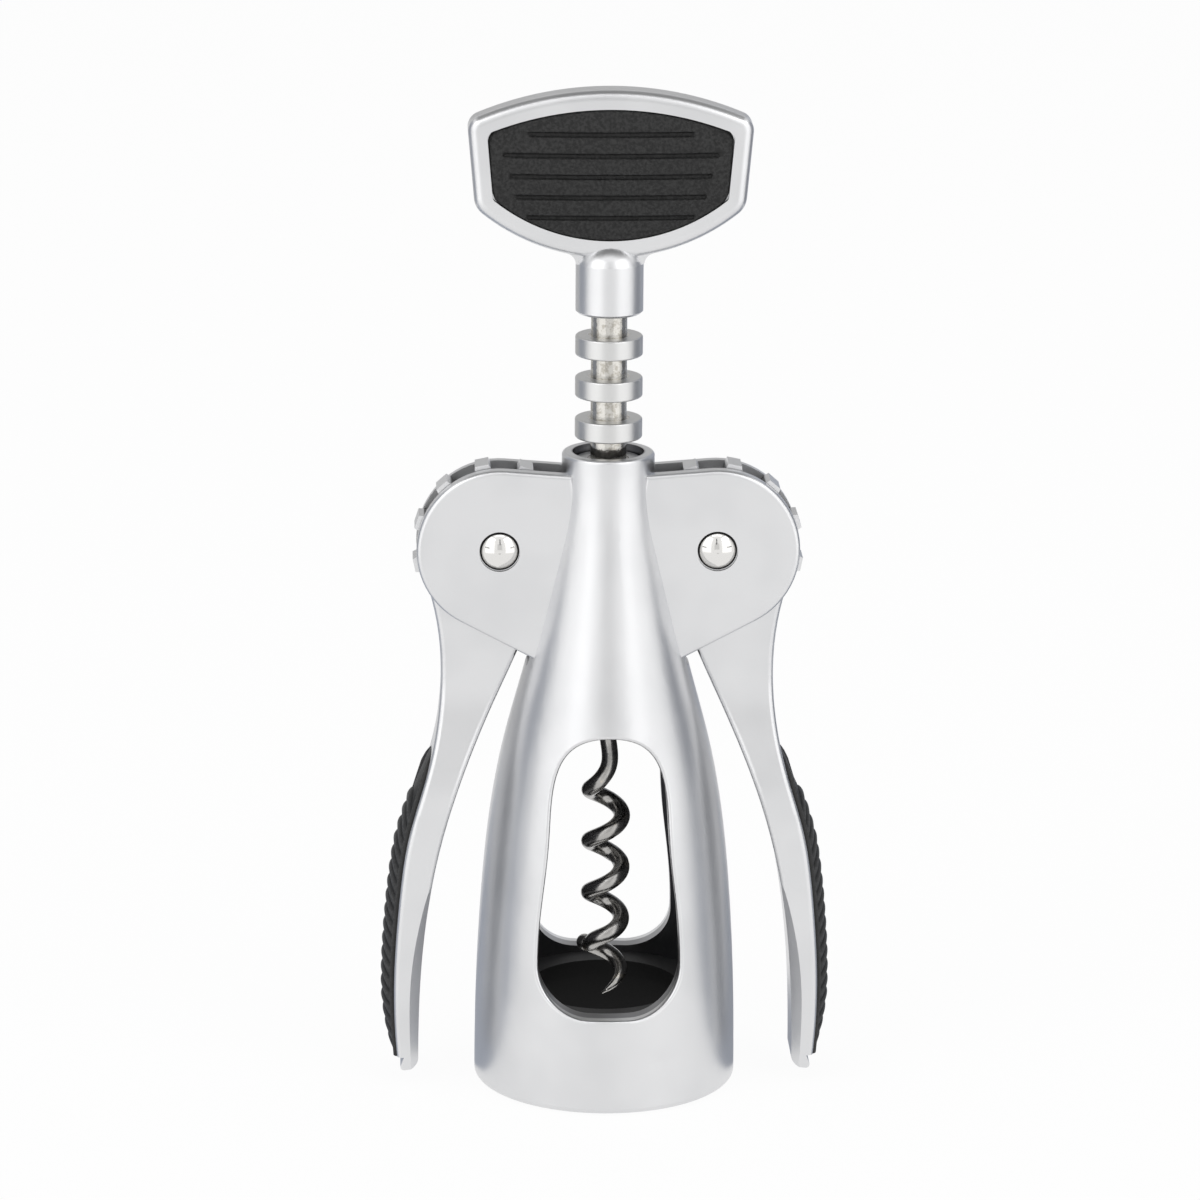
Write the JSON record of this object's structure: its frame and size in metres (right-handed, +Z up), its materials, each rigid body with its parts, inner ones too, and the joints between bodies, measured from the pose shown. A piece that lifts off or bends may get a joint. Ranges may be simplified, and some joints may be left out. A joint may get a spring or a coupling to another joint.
{
  "type": "wing corkscrew",
  "caption": "Wing corkscrew: a bell that stands on the bottle, twin geared levers, and a toothed rack that carries a turning worm with a padded handle.",
  "frame": {"origin": "centre of the bell's foot, on the surface that it stands on", "axes": "+Z up along the worm's axis; levers at -X and +X; windows face -Y and +Y, with -Y the front"},
  "size_m": [0.0776, 0.045, 0.1728],
  "materials": {
    "satin_zinc": "satin plated zinc casting",
    "bright_plating": "bright nickel plating",
    "spindle_steel": "turned steel",
    "worm_steel": "polished dark steel",
    "rubber": "fine-grained moulded rubber",
    "guide_plastic": "matte black moulding",
    "washer_nylon": "natural nylon"
  },
  "bodies": {
    "frame": {"bell_frame": "satin_zinc", "bottle_guide": "guide_plastic", "left_pivot_axle": "bright_plating", "right_pivot_axle": "bright_plating", "left_front_cap": "bright_plating", "left_rear_cap": "bright_plating", "right_front_cap": "bright_plating", "right_rear_cap": "bright_plating"},
    "left_wing": {"left_lever": "satin_zinc", "left_grip": "rubber"},
    "right_wing": {"right_lever": "satin_zinc", "right_grip": "rubber"},
    "rack": {"rack_sleeve": "bright_plating", "upper_thrust_washer": "washer_nylon", "lower_thrust_washer": "washer_nylon"},
    "screw": {"spindle": "spindle_steel", "worm": "worm_steel", "handle_frame": "satin_zinc", "handle_pin": "spindle_steel", "front_handle_pad": "rubber", "rear_handle_pad": "rubber"}
  },
  "joints": [
    {"name": "left_lever_swing", "type": "hinge", "parent": "frame", "child": "left_wing", "pos_m": [-0.0184, 0, 0.0945], "axis": [0, 1, 0], "range_deg": [0, 140]},
    {"name": "right_lever_swing", "type": "hinge", "parent": "frame", "child": "right_wing", "pos_m": [0.0184, 0, 0.0945], "axis": [0, -1, 0], "range_deg": [0, 140]},
    {"name": "rack_travel", "type": "slide", "parent": "frame", "child": "rack", "axis": [0, 0, -1], "range_m": [0, 0.0332]},
    {"name": "screw_turn", "type": "hinge", "parent": "rack", "child": "screw", "pos_m": [0, 0, 0.1], "axis": [0, 0, 1], "continuous": true}
  ],
  "couplings": [
    {"joint": "right_lever_swing", "follows": "left_lever_swing", "ratio": 1},
    {"joint": "rack_travel", "follows": "left_lever_swing", "m_per_rad": 0.01356}
  ]
}
